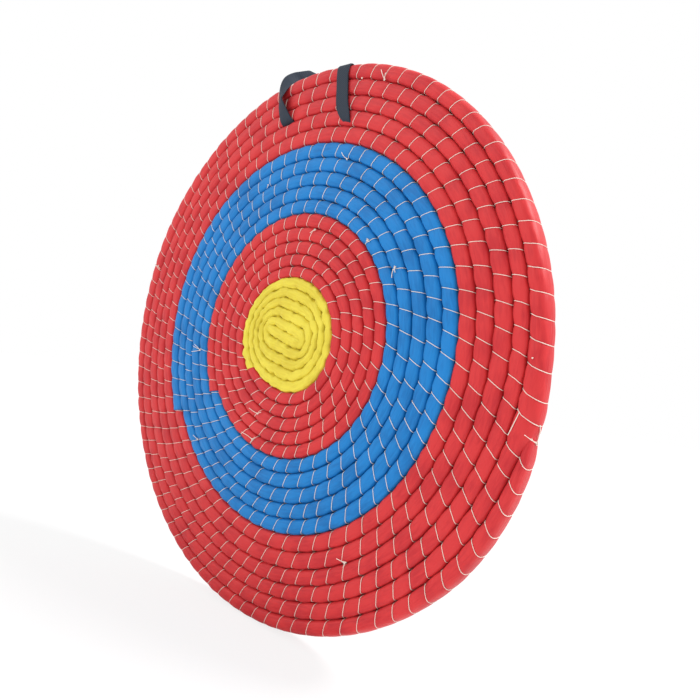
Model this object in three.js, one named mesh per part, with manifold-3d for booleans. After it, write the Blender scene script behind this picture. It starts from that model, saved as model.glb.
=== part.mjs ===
import * as THREE from 'three';
import { mergeVertices } from 'three/addons/utils/BufferGeometryUtils.js';
import Module from 'manifold-3d';

// Archery target boss: one straw rope, wrapped in lengths of coloured cloth, laid in a flat
// spiral and whip-stitched turn to turn, with two webbing loops at the top to hang it by.
// Millimetres, +Z up. The shooting face looks along -Y. The origin is on the back face, at the
// start of the spiral.

const wasm = await Module();
wasm.setup();

// The rope and its spiral, counted in turns from the middle outwards
const boss_thickness = 20;
const gold_pitch = 10.4;
const inner_red_pitch = 11.9;
const blue_pitch = 12.7;
const outer_red_pitch = 13.55;
const gold_turns = 5.124;
const inner_red_turns = 4.991;
const blue_turns = 4.998;
const outer_red_turns = 5.384;
const rope_gap = 0.6;
const flat_share = 0.55;
const steps_per_turn = 21;
const own_reach_turns = 0.3;
const direction_step_share = 0.02;
const nearness_share = 1 / 3;

// The straight start of the rope, doubled back on itself, which the next turns round out
const start_run = 40;
const start_angle = THREE.MathUtils.degToRad(-10.75);
const rounding_turns = 5.5;
const start_shift_x = -2.8;
const start_shift_z = 2.6;
const centring_turns = 8;

// Cloth wrap, straw core and the rope's outer end
const cloth_wall = 1;
const core_clearance = 0.3;
const butt_gap = 0.4;
const tail_taper = 90;
const tail_half_width = 2.5;
const tail_flat_share = 0.75;

// Webbing loops for hanging
const webbing_width = 15;
const webbing_thickness = 1.2;
const webbing_clearance = 0.3;
const webbing_bend = 4;
const slot_end_clearance = 0.6;
const slot_reach_share = 1 / 6;
const leg_gap = 0.8;
const swing_limit = THREE.MathUtils.degToRad(8);
const left_strap_angle = THREE.MathUtils.degToRad(100.3);
const left_strap_direction = THREE.MathUtils.degToRad(97.5);
const left_strap_coils = 3;
const left_crown_gap = 18;
const right_strap_angle = THREE.MathUtils.degToRad(78.35);
const right_strap_direction = THREE.MathUtils.degToRad(95.6);
const right_strap_coils = 4;
const right_crown_gap = 6;
const crown_back = 12;
const rim_edge_drop = 3;
const shoulder_share = 0.25;
const bend_points = 10;

// Thread knot that ties off the rope's outer end
const knot_length = 5;
const knot_thickness = 3;
const knot_clearance = 0.3;
const knot_segments = 10;
const knot_rings = 8;

// Corners nearer than this are one corner
const weld_distance = 0.0003;

const straw_colour = 0xc9b26a;
const gold_colour = 0xeee04b;
const red_colour = 0xde4242;
const blue_colour = 0x2384d2;
const thread_colour = 0xfacdaf;
const webbing_colour = 0x3e4654;
const straw_roughness = 0.9;
const cloth_roughness = 0.85;
const thread_roughness = 0.8;
const webbing_roughness = 0.7;

const half_thickness = boss_thickness / 2;
const total_turns = gold_turns + inner_red_turns + blue_turns + outer_red_turns;
const colours = [
  { name: 'gold_wrap', turns: gold_turns, pitch: gold_pitch, colour: gold_colour },
  { name: 'inner_red_wrap', turns: inner_red_turns, pitch: inner_red_pitch, colour: red_colour },
  { name: 'blue_wrap', turns: blue_turns, pitch: blue_pitch, colour: blue_colour },
  { name: 'outer_red_wrap', turns: outer_red_turns, pitch: outer_red_pitch, colour: red_colour },
];

// Radius of the rope's middle line after a number of turns.
function turnRadius(turn) {
  let radius = 0;
  let left = turn;
  for (const length of colours) {
    radius += Math.min(left, length.turns) * length.pitch;
    left = Math.max(left - length.turns, 0);
  }
  return radius;
}

// A turn is a stadium: two half rounds with two straight runs between them. The straight runs
// shrink to nothing as the spiral rounds out.
function pathPoint(turn) {
  const radius = turnRadius(turn);
  const run = start_run / 2 * Math.max(1 - turn / rounding_turns, 0);
  const quarter = Math.PI * radius / 2;
  const along = (turn % 1) * (4 * run + 4 * quarter);
  const point = new THREE.Vector2();
  if (along <= quarter) {
    point.set(-run - radius * Math.cos(along / Math.max(radius, rope_gap)), 0);
    point.y = -radius * Math.sin(along / Math.max(radius, rope_gap));
  } else if (along < quarter + 2 * run) {
    point.set(along - quarter - run, -radius);
  } else if (along < 3 * quarter + 2 * run) {
    const angle = (along - quarter - 2 * run) / radius;
    point.set(run + radius * Math.sin(angle), -radius * Math.cos(angle));
  } else if (along < 3 * quarter + 4 * run) {
    point.set(run - (along - 3 * quarter - 2 * run), radius);
  } else {
    const angle = (along - 3 * quarter - 4 * run) / radius;
    point.set(-run - radius * Math.sin(angle), radius * Math.cos(angle));
  }
  point.rotateAround(new THREE.Vector2(), start_angle);
  const off_centre = Math.max(1 - turn / centring_turns, 0);
  point.x += start_shift_x * off_centre;
  point.y += start_shift_z * off_centre;
  return point;
}

// The turn values at which the rope has a section: even steps, both sides of each colour
// change, and three more along the tapered tail.
function sectionTurns() {
  const step = 1 / steps_per_turn;
  const taper_turns = tail_taper / (2 * Math.PI * turnRadius(total_turns));
  const taper_start = total_turns - taper_turns;
  const special = [];
  let turn = 0;
  for (const length of colours.slice(0, -1)) {
    turn += length.turns;
    const half_gap = butt_gap / 2 / (2 * Math.PI * turnRadius(turn));
    special.push(turn - half_gap, turn + half_gap);
  }
  special.push(taper_start, total_turns - taper_turns / 2, total_turns);
  const even = [];
  for (let value = step / 2; value < taper_start; value += step) {
    if (special.every((other) => Math.abs(other - value) > step * nearness_share)) {
      even.push(value);
    }
  }
  return { turns: [0, ...even, ...special].sort((a, b) => a - b), taper_start, step };
}

function distanceToSegment(point, start, end) {
  const along = end.clone().sub(start);
  const share = THREE.MathUtils.clamp(point.clone().sub(start).dot(along) / along.lengthSq(), 0, 1);
  return point.distanceTo(start.clone().addScaledVector(along, share));
}

// Least distance from a point to the rest of a line, past its own neighbourhood.
function distanceToOtherTurns(point, turn, line, turns) {
  let least = Infinity;
  for (let j = 0; j + 1 < line.length; j += 1) {
    const clear = turns[j + 1] < turn - own_reach_turns || turns[j] > turn + own_reach_turns;
    if (clear) {
      least = Math.min(least, distanceToSegment(point, line[j], line[j + 1]));
    }
  }
  return least;
}

// The sections of the rope: place, outward direction and half width. Their corners lie as far
// outside the true spiral as the chords between them lie inside. The rope is as wide as its
// neighbours leave it, and narrows along its tail while it hugs the turn inside it.
function ropeSections() {
  const { turns, taper_start, step } = sectionTurns();
  const corner_share = 1 / Math.sqrt(Math.cos(Math.PI / steps_per_turn));
  const line = turns.map((turn) => pathPoint(turn).multiplyScalar(corner_share));
  const room = line.map((point, i) => distanceToOtherTurns(point, turns[i], line, turns));
  const middle_room = line.slice(1).map((point, i) => {
    const middle = line[i].clone().add(point).divideScalar(2);
    return distanceToOtherTurns(middle, (turns[i] + turns[i + 1]) / 2, line, turns);
  });
  return turns.map((turn, i) => {
    const ahead = pathPoint(Math.min(turn + step * direction_step_share, total_turns));
    const along = ahead.sub(pathPoint(Math.max(turn - step * direction_step_share, 0))).normalize();
    const outward = new THREE.Vector2(along.y, -along.x);
    const sides = [room[i], middle_room[i - 1] ?? Infinity, middle_room[i] ?? Infinity];
    const full = (Math.min(...sides) - rope_gap) / 2;
    const tail_share = Math.max((turn - taper_start) / (total_turns - taper_start), 0);
    const half_width = THREE.MathUtils.lerp(full, Math.min(full, tail_half_width), tail_share);
    const flat = THREE.MathUtils.lerp(flat_share, tail_flat_share, tail_share);
    const place = line[i].clone().addScaledVector(outward, half_width - full);
    const in_tail = turn > taper_start - step * nearness_share;
    return { turn, place, along, outward, half_width, flat, in_tail };
  });
}

// Gap from each section's sides to the facing sides of the other turns.
function sideGaps(list) {
  const turns = list.map((section) => section.turn);
  const side = (sign) => list.map((section) => section.place.clone()
    .addScaledVector(section.outward, sign * section.half_width));
  const outer_side = side(1);
  const inner_side = side(-1);
  return turns.map((turn, i) => Math.min(
    distanceToOtherTurns(outer_side[i], turn, inner_side, turns),
    distanceToOtherTurns(inner_side[i], turn, outer_side, turns),
  ));
}

// Narrows the rope where long chords on a tight turn bring its sides too near each other.
function settled(list) {
  const gaps = sideGaps(list);
  return list.map((section, i) => ({
    ...section, half_width: section.half_width - Math.max(rope_gap - gaps[i], 0),
  }));
}

function sectionPoint(section, out, depth) {
  const point = section.place.clone().addScaledVector(section.outward, out);
  return new THREE.Vector3(point.x, depth - half_thickness, point.y);
}

function ring(section, points) {
  const along = new THREE.Vector3(section.along.x, 0, section.along.y);
  return { turn: section.turn, along, points };
}

// Six corners, with flats at the front and the back of the boss.
function wrapCorners(section) {
  const side = section.half_width;
  const flat = section.half_width * section.flat;
  return [
    [side, 0], [flat, half_thickness], [-flat, half_thickness],
    [-side, 0], [-flat, -half_thickness], [flat, -half_thickness],
  ].map(([out, depth]) => sectionPoint(section, out, depth));
}

// Four corners of the bore in the wrap, or of the straw in it.
function coreCorners(section, clearance) {
  const depth = half_thickness - cloth_wall - clearance;
  const slope = section.half_width * (1 - section.flat) / half_thickness;
  const side = section.half_width - slope * (half_thickness - cloth_wall);
  const out = side - cloth_wall * Math.hypot(1, slope) - clearance;
  return [[out, depth], [-out, depth], [-out, -depth], [out, -depth]]
    .map(([x, y]) => sectionPoint(section, x, y));
}

// Joins rings of corners into a closed solid. A bore that stops short of an end is blind there.
function tubeGeometry(rings, bore = []) {
  const vertices = [];
  const faces = [];
  const addRings = (list) => list.map((ring) => ring.points.map((point) => vertices.push(point) - 1));
  const addWall = (list, inside) => {
    for (let i = 0; i + 1 < list.length; i += 1) {
      list[i].forEach((corner, k) => {
        const next = (k + 1) % list[i].length;
        const [a, b, c, d] = [corner, list[i][next], list[i + 1][next], list[i + 1][k]];
        faces.push(inside ? [a, c, b] : [a, b, c]);
        faces.push(inside ? [a, d, c] : [a, c, d]);
      });
    }
  };
  const addEnd = (ring, hole, facing) => {
    const centre = vertices[ring[0]];
    const across = new THREE.Vector3(facing.z, 0, -facing.x);
    const flat = (list) => list.map((index) => {
      const offset = vertices[index].clone().sub(centre);
      return new THREE.Vector2(offset.dot(across), offset.y);
    });
    const ids = [...ring, ...hole];
    for (const face of THREE.ShapeUtils.triangulateShape(flat(ring), hole.length ? [flat(hole)] : [])) {
      const [a, b, c] = face.map((index) => ids[index]);
      const ab = vertices[b].clone().sub(vertices[a]);
      const ac = vertices[c].clone().sub(vertices[a]);
      faces.push(ab.cross(ac).dot(facing) > 0 ? [a, b, c] : [a, c, b]);
    }
  };
  const outer = addRings(rings);
  const inner = addRings(bore);
  addWall(outer, false);
  addWall(inner, true);
  for (const [at, sign] of [[0, -1], [-1, 1]]) {
    const open = bore.length > 0 && bore.at(at).turn === rings.at(at).turn;
    addEnd(outer.at(at), open ? inner.at(at) : [], rings.at(at).along.clone().multiplyScalar(sign));
    if (bore.length > 0 && !open) {
      addEnd(inner.at(at), [], bore.at(at).along.clone().multiplyScalar(-sign));
    }
  }
  const geometry = new THREE.BufferGeometry();
  geometry.setAttribute('position', new THREE.Float32BufferAttribute(vertices.flatMap((p) => p.toArray()), 3));
  geometry.setIndex(faces.flat());
  return geometry;
}

function facingOut(geometry) {
  const position = geometry.getAttribute('position');
  const index = geometry.getIndex();
  const corner = (i) => new THREE.Vector3().fromBufferAttribute(position, index.getX(i));
  let volume = 0;
  for (let i = 0; i < index.count; i += 3) {
    volume += corner(i).dot(corner(i + 1).cross(corner(i + 2)));
  }
  if (volume < 0) {
    const flipped = [...index.array];
    for (let i = 0; i < flipped.length; i += 3) {
      [flipped[i], flipped[i + 1]] = [flipped[i + 1], flipped[i]];
    }
    geometry.setIndex(flipped);
  }
  return geometry;
}

function toSolid(geometry) {
  const bare = geometry.clone();
  bare.deleteAttribute('normal');
  bare.deleteAttribute('uv');
  const merged = mergeVertices(bare, weld_distance);
  return new wasm.Manifold(new wasm.Mesh({
    numProp: 3,
    vertProperties: new Float32Array(merged.getAttribute('position').array),
    triVerts: new Uint32Array(merged.getIndex().array),
  }));
}

function toGeometry(solid) {
  const mesh = solid.getMesh();
  const geometry = new THREE.BufferGeometry();
  geometry.setAttribute('position', new THREE.BufferAttribute(new Float32Array(mesh.vertProperties), 3));
  geometry.setIndex([...mesh.triVerts]);
  return geometry;
}

const sections = settled(settled(ropeSections()));
console.log(`least gap between the rope's turns: ${Math.min(...sideGaps(sections)).toFixed(2)} mm`);

// The wraps, each from one colour change to the next. The first and the last close over the straw.
function wrapGeometry(order) {
  const lengths = colours.slice(0, order + 1).map((length) => length.turns);
  const end = lengths.reduce((sum, turns) => sum + turns, 0);
  const own = sections.filter(({ turn }) => turn > end - lengths.at(-1) - Number.EPSILON
    && (turn < end || order === colours.length - 1));
  const hollow = own.filter((section) => section !== sections[0] && !section.in_tail);
  return tubeGeometry(
    own.map((section) => ring(section, wrapCorners(section))),
    hollow.map((section) => ring(section, coreCorners(section, 0))),
  );
}

// One straw rope runs through all four wraps and stops short of the bore's blind ends.
function strawGeometry() {
  const hollow = sections.filter((section) => section !== sections[0] && !section.in_tail);
  return tubeGeometry(hollow.map((section, i) => {
    const inwards = (i === 0 ? 1 : 0) - (i === hollow.length - 1 ? 1 : 0);
    const shift = section.along.clone().multiplyScalar(inwards * core_clearance);
    const points = coreCorners(section, core_clearance)
      .map((point) => point.add(new THREE.Vector3(shift.x, 0, shift.y)));
    return ring(section, points);
  }));
}

// Where a ray from the middle crosses the rope's line, from the rim inwards.
function crossings(angle) {
  const ray = new THREE.Vector2(Math.cos(angle), Math.sin(angle));
  const found = [];
  for (let i = 0; i + 1 < sections.length; i += 1) {
    const start = sections[i].place;
    const span = sections[i + 1].place.clone().sub(start);
    const turn_of_ray = ray.cross(span);
    const share = start.cross(ray) / turn_of_ray;
    const radius = start.cross(span) / turn_of_ray;
    if (share >= 0 && share < 1 && radius > 0) {
      const out = new THREE.Vector2(span.y, -span.x).normalize();
      found.push({ point: ray.clone().multiplyScalar(radius), out, section: sections[i] });
    }
  }
  return found.reverse();
}

// The slot between two turns that a webbing loop passes through, and how far the rim is.
function strapSlot(angle, coils) {
  const turns = crossings(angle);
  const centre = turns[coils - 1].point.clone().add(turns[coils].point).divideScalar(2);
  const out = turns[coils - 1].out;
  const rim = turns[0].point.clone().sub(centre).dot(out) + turns[0].section.half_width;
  return { centre, out, rim };
}

// The place of a strap: X along the groove, Y outwards over the turns, Z to the front.
function strapMatrix(slot) {
  const groove = new THREE.Vector3(slot.out.y, 0, -slot.out.x);
  const out = new THREE.Vector3(slot.out.x, 0, slot.out.y);
  const front = groove.clone().cross(out);
  const place = new THREE.Vector3(slot.centre.x, -half_thickness, slot.centre.y);
  return new THREE.Matrix4().makeBasis(groove, out, front).setPosition(place);
}

// The loop's middle line, seen along the groove with the front at positive x: across the slot,
// up the front leg, which lies along the face, over the rim to a crown that leans back, and
// down the back leg, which stands away so that the loop can swing forwards.
function loopOutline(slot, crown_gap) {
  const half = webbing_thickness / 2;
  const crown = slot.rim + crown_gap + half;
  const foot = half_thickness + leg_gap + half;
  const edge = slot.rim - rim_edge_drop;
  const shoulder = slot.rim + crown_gap * shoulder_share;
  const backLeg = (height) => -foot - height * Math.tan(swing_limit);
  const line = new THREE.Path();
  line.moveTo(webbing_bend - foot, 0);
  line.lineTo(foot - webbing_bend, 0);
  line.quadraticCurveTo(foot, 0, foot, webbing_bend);
  line.lineTo(foot, edge);
  line.bezierCurveTo(foot, shoulder, 0, crown, -crown_back, crown);
  line.bezierCurveTo(backLeg(edge), crown, backLeg(shoulder), shoulder, backLeg(edge), edge);
  line.lineTo(backLeg(webbing_bend), webbing_bend);
  line.quadraticCurveTo(-foot, 0, webbing_bend - foot, 0);
  return line.getPoints(bend_points).slice(1);
}

function strapGeometry(slot, direction, crown_gap) {
  const line = loopOutline(slot, crown_gap);
  const offset = (distance) => line.map((point, i) => {
    const next = line[(i + 1) % line.length];
    const last = line.at(i - 1);
    const along = next.clone().sub(last).normalize();
    return point.clone().add(new THREE.Vector2(along.y, -along.x).multiplyScalar(distance));
  });
  const shape = new THREE.Shape(offset(webbing_thickness / 2));
  shape.holes.push(new THREE.Path(offset(-webbing_thickness / 2)));
  const geometry = new THREE.ExtrudeGeometry(shape, { depth: webbing_width, bevelEnabled: false, steps: 1 });
  geometry.translate(0, 0, -webbing_width / 2);
  geometry.applyMatrix4(new THREE.Matrix4().makeBasis(
    new THREE.Vector3(0, 0, 1), new THREE.Vector3(0, 1, 0), new THREE.Vector3(-1, 0, 0),
  ));
  const lean = direction - Math.atan2(slot.out.y, slot.out.x);
  geometry.applyMatrix4(new THREE.Matrix4().makeShear(0, 0, -Math.tan(lean), 0, 0, 0));
  return geometry;
}

// The room that a strap's slot needs between its two turns, over the strap's whole swing.
function slotCutter(slot) {
  const reach = boss_thickness * slot_reach_share;
  const half = webbing_thickness / 2 / Math.cos(swing_limit) + reach * Math.tan(swing_limit);
  const cutter = new THREE.BoxGeometry(
    webbing_width + 2 * slot_end_clearance,
    2 * (half + webbing_clearance),
    boss_thickness + 2 * webbing_clearance,
  );
  cutter.applyMatrix4(strapMatrix(slot));
  return toSolid(cutter);
}

function outerWrapGeometry(slots) {
  let solid = toSolid(wrapGeometry(colours.length - 1));
  for (const slot of slots) {
    solid = solid.subtract(slotCutter(slot));
  }
  return toGeometry(solid);
}

// A lump of wound thread on the rim, against the end of the tail.
function knotGeometry() {
  const geometry = new THREE.SphereGeometry(knot_thickness / 2, knot_segments, knot_rings);
  const end = sections.at(-1);
  const length_scale = knot_length / knot_thickness;
  const out = new THREE.Vector3(end.outward.x, 0, end.outward.y);
  const along = new THREE.Vector3(end.along.x, 0, end.along.y).multiplyScalar(length_scale);
  const depth = new THREE.Vector3(0, 1, 0);
  const seat = end.half_width + knot_clearance + knot_thickness / 2;
  const place = end.place.clone().addScaledVector(end.outward, seat);
  place.addScaledVector(end.along, -knot_length / 2);
  geometry.applyMatrix4(new THREE.Matrix4().makeBasis(out, depth, along)
    .setPosition(place.x, -half_thickness, place.y));
  return facingOut(mergedByPlace(geometry));
}

function mergedByPlace(geometry) {
  const bare = geometry.clone();
  bare.deleteAttribute('normal');
  bare.deleteAttribute('uv');
  return mergeVertices(bare, weld_distance);
}

const group = new THREE.Group();

function addPiece(name, geometry, colour, roughness, matrix) {
  const material = new THREE.MeshStandardMaterial({ color: colour, roughness, metalness: 0 });
  const mesh = new THREE.Mesh(geometry, material);
  mesh.name = name;
  if (matrix) {
    mesh.applyMatrix4(matrix);
  }
  group.add(mesh);
}

const left_slot = strapSlot(left_strap_angle, left_strap_coils);
const right_slot = strapSlot(right_strap_angle, right_strap_coils);

addPiece('straw_core', strawGeometry(), straw_colour, straw_roughness);
addPiece(colours[0].name, wrapGeometry(0), colours[0].colour, cloth_roughness);
addPiece(colours[1].name, wrapGeometry(1), colours[1].colour, cloth_roughness);
addPiece(colours[2].name, wrapGeometry(2), colours[2].colour, cloth_roughness);
addPiece(colours[3].name, outerWrapGeometry([left_slot, right_slot]), colours[3].colour, cloth_roughness);
addPiece('tie_off_knot', knotGeometry(), thread_colour, thread_roughness);
addPiece(
  'strap_left',
  strapGeometry(left_slot, left_strap_direction, left_crown_gap),
  webbing_colour, webbing_roughness, strapMatrix(left_slot),
);
addPiece(
  'strap_right',
  strapGeometry(right_slot, right_strap_direction, right_crown_gap),
  webbing_colour, webbing_roughness, strapMatrix(right_slot),
);

export default group;
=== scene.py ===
import math
import bpy
import numpy as np
from mathutils import Matrix, Vector


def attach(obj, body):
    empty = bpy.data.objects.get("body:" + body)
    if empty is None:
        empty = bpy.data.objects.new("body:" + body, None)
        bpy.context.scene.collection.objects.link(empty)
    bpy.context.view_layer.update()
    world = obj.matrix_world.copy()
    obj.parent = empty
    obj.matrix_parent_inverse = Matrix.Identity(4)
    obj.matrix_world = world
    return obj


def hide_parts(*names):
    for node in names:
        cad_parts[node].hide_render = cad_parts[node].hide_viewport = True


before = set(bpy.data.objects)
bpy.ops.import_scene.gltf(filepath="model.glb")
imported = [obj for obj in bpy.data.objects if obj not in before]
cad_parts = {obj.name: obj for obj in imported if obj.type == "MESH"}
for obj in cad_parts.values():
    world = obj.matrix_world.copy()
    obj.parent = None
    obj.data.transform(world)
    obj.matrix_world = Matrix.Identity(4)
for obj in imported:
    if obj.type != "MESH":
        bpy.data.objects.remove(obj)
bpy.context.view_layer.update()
scene = bpy.context.scene

# Camera
# A short lens, close to the boss, from the right of the shooting face and level with its
# middle. It is rolled a little, so that the two hanging loops come out at the top left.
camera_place = Vector((0.3949, -0.3845, -0.0197))
camera_aim = Vector((0.0760, -0.01375, -0.00625))
camera_up = Vector((-0.17794, 0.0, 0.98404))
camera_data = bpy.data.cameras.new("camera")
camera_data.sensor_width = 36.0
camera_data.lens = 30.565
camera_data.clip_start = 0.01
camera = bpy.data.objects.new("camera", camera_data)
scene.collection.objects.link(camera)
toward = (camera_aim - camera_place).normalized()
across = toward.cross(camera_up).normalized()
above = across.cross(toward)
camera.matrix_world = Matrix.Translation(camera_place) @ Matrix((across, above, -toward)).transposed().to_4x4()
scene.camera = camera

# Straw core
# One long rope of dry wheat straw, laid in a flat spiral from the middle outwards. Its first
# turn is doubled back on itself, and the next ones round that out. The cloth covers all of it.
half_thickness = 0.010

# Turns of each colour, from the middle out, and how far one turn lies from the next
colour_lengths = [(5.124, 0.0104), (4.991, 0.0119), (4.998, 0.0127), (5.395, 0.01355)]
total_turns = sum(turns for turns, pitch in colour_lengths)
start_run = 0.040
start_angle = math.radians(-10.75)
start_shift = (-0.0028, 0.0026)
rounding_turns = 5.5
centring_turns = 8
tightest_bend = 0.0006

# How far the turns lie off an even spiral: all round, to the right and up, and as an oval or
# a three-cornered shape
lie_turns = [0, 3.5, 5.148, 7.6, 10.127, 12.6, 15.12, 16.8, 18.0, 19.0, 19.7, 20.4]
lie_out = [0, -.0007, -.0002, -.0008, -.0017, -.0017, -.0018, -.0005, -.0015, -.0018, -.0025, -.0025]
lie_right = [.0038, .0038, .0047, .0035, .0040, .0028, .0044, .0038, .0039, .0039, .0018, .0016]
lie_up = [-.0017, -.0017, -.0022, -.0021, -.0016, -.0016, -.0011, -.0013, -.0010, -.0019, -.0008, -.0013]
lie_oval = [0, .0008, .0011, .0014, -.0001, -.0003, -.0002, -.0009, -.0008, -.0010, -.0016, -.0021]
lie_oval_skew = [0, -.0004, -.0014, -.0009, -.0002, .0004, -.0001, .0010, .0009, .0020, .0009, .0007]
lie_trefoil = [0, 0, -.0006, 0, .0001, -.0001, .0001, 0, .0007, .0009, -.0010, .0010]
lie_trefoil_skew = [0, 0, -.0003, .0003, -.0003, .0001, .0006, .0002, .0009, -.0014, -.0002, -.0009]
right_swell_turns = [17, 18.4, 19.6]
right_swells = [0, 0.0010, 0.0015]
right_swell_reach = 0.35

# The tail's width, as a share of the rope's, and the flatness that goes with it
tail_turns = [20.425, 20.447, 20.468, 20.488, 20.498, 20.504, 20.508]
tail_widths = [0.97, 0.87, 0.70, 0.49, 0.27, 0.12, 0.10]
flat_widths = [0.1, 0.45, 1]
flat_depths = [0.28, 0.85, 1]

# Half the rope's width on the outer side of the last turn, which bulges beside the tail
rim_turns = [19.485, 19.493, 19.499, 19.508, 19.517, 19.53, 19.55, 19.572, 19.613, 19.655,
             19.70, 19.735, 19.752, 19.758, 19.768, 19.775, 19.83, 19.88, 19.905, 19.938,
             19.967, 20.0, 20.03, 20.09, 20.155, 20.24, 20.405, 20.508]
rim_half = [.0068, .0090, .0109, .0109, .0094, .0083, .0077, .0072, .0062, .0062,
            .0069, .0076, .0074, .0062, .0061, .0069, .0076, .0068, .0070, .0089,
            .0096, .0083, .0074, .0057, .0066, .0065, .0067, .0068]


def turn_radius(turn):
    radius = np.zeros_like(turn)
    left = turn.copy()
    for turns, pitch in colour_lengths:
        radius += np.minimum(left, turns) * pitch
        left = np.maximum(left - turns, 0)
    return radius


def spiral_place(turn):
    """Middle of the rope, as x and z, after a number of turns. The lie values are the small
    unevenness of a spiral that is laid by hand."""
    radius = turn_radius(turn)
    run = start_run / 2 * np.maximum(1 - turn / rounding_turns, 0)
    quarter = math.pi * radius / 2
    along = (turn % 1) * (4 * run + 4 * quarter)
    bend = np.maximum(radius, tightest_bend)
    a = along / bend
    b = (along - quarter - 2 * run) / bend
    c = (along - 3 * quarter - 4 * run) / bend
    parts = [along <= quarter, along < quarter + 2 * run, along < 3 * quarter + 2 * run,
             along < 3 * quarter + 4 * run]
    x = np.select(parts, [-run - radius * np.cos(a), along - quarter - run, run + radius * np.sin(b),
                          run - (along - 3 * quarter - 2 * run)], -run - radius * np.sin(c))
    z = np.select(parts, [-radius * np.sin(a), -radius, -radius * np.cos(b), radius], radius * np.cos(c))
    off_centre = np.maximum(1 - turn / centring_turns, 0)
    cos, sin = math.cos(start_angle), math.sin(start_angle)
    x, z = x * cos - z * sin + start_shift[0] * off_centre, x * sin + z * cos + start_shift[1] * off_centre
    around = np.arctan2(z, x)
    out, right, up, oval, oval_skew, trefoil, trefoil_skew = (
        np.interp(turn, lie_turns, lie)
        for lie in (lie_out, lie_right, lie_up, lie_oval, lie_oval_skew, lie_trefoil, lie_trefoil_skew))
    out = out + oval * np.cos(2 * around) + oval_skew * np.sin(2 * around)
    out = out + trefoil * np.cos(3 * around) + trefoil_skew * np.sin(3 * around)
    swell = np.interp(turn, right_swell_turns, right_swells)
    out = out + swell * np.exp(-(around / right_swell_reach) ** 2)
    return x + right + out * np.cos(around), z + up + out * np.sin(around)


# The course of the rope at every millimetre of its length
fine_steps = 24000
rope_step = 0.001
fine_turn = np.linspace(0, total_turns, fine_steps)
fine_x, fine_z = spiral_place(fine_turn)
fine_length = np.concatenate([[0], np.cumsum(np.hypot(np.diff(fine_x), np.diff(fine_z)))])
rope_length = fine_length[-1]
rope_s = np.arange(0, rope_length, rope_step)
rope_turn = np.interp(rope_s, fine_length, fine_turn)
rope_x, rope_z = spiral_place(rope_turn)
step_x = np.gradient(rope_x)
step_z = np.gradient(rope_z)
step_length = np.hypot(step_x, step_z)
out_x = step_z / step_length
out_z = -step_x / step_length

# Half the way to the next turn on each side is how wide the rope lies there. A place less than
# a third of a turn away is on the same turn. Beside a wider gap the rope keeps its widest half.
width_step = 4
neighbour_step = 3
same_turn = 0.3
widest_turns = [6, 8]
widest_halves = [0.0072, 0.0095]
width_blocks = 24
coarse = np.arange(0, len(rope_s), width_step)
inner_half = np.empty(len(coarse))
outer_half = np.empty(len(coarse))
for block in np.array_split(np.arange(len(coarse)), width_blocks):
    here = coarse[block]
    gap_x = rope_x[None, ::neighbour_step] - rope_x[here, None]
    gap_z = rope_z[None, ::neighbour_step] - rope_z[here, None]
    far = np.hypot(gap_x, gap_z)
    other = np.abs(rope_turn[None, ::neighbour_step] - rope_turn[here, None]) > same_turn
    outside = gap_x * out_x[here, None] + gap_z * out_z[here, None] > 0
    outer_half[block] = np.where(other & outside, far, 1.0).min(1) / 2
    inner_half[block] = np.where(other & ~outside, far, 1.0).min(1) / 2
coarse_turn = rope_turn[coarse]
widest = np.interp(coarse_turn, widest_turns, widest_halves)
inner_half = np.minimum(inner_half, widest)
outer_half = np.minimum(outer_half, widest)
outer_half = np.where(coarse_turn > rim_turns[0], np.interp(coarse_turn, rim_turns, rim_half), outer_half)
blur = np.ones(5) / 5
inner_half, outer_half = (
    np.interp(rope_s, rope_s[coarse], np.convolve(np.pad(half, 2, "edge"), blur, "valid"))
    for half in (inner_half, outer_half))


def rope_points(s, out_share, depth_share, inset, lift, side_scale=1.0, depth_scale=1.0):
    """Places on the rope's surface. out_share runs from -1, inside, to 1, outside, and depth_share
    from -1, back, to 1, front. inset draws the sides in and lift raises the front and back. A
    place short of the rope's start lies straight on from it."""
    short_of_start = np.minimum(s, 0)
    s = np.clip(s, rope_s[0], rope_s[-1])
    inner = np.interp(s, rope_s, inner_half)
    outer = np.interp(s, rope_s, outer_half)
    narrow = np.interp(np.interp(s, rope_s, rope_turn), tail_turns, tail_widths)
    half = np.where(out_share > 0, outer, inner) * narrow
    hug = inner * (narrow - 1)
    out = hug + out_share * (half * side_scale - inset * narrow)
    x = np.interp(s, rope_s, rope_x) + np.interp(s, rope_s, out_x) * out - short_of_start * out_z[0]
    z = np.interp(s, rope_s, rope_z) + np.interp(s, rope_s, out_z) * out + short_of_start * out_x[0]
    flat = np.interp(narrow, flat_widths, flat_depths)
    y = -half_thickness - depth_share * (half_thickness * depth_scale * flat + lift)
    return np.stack([x, y, z], -1)


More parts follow.
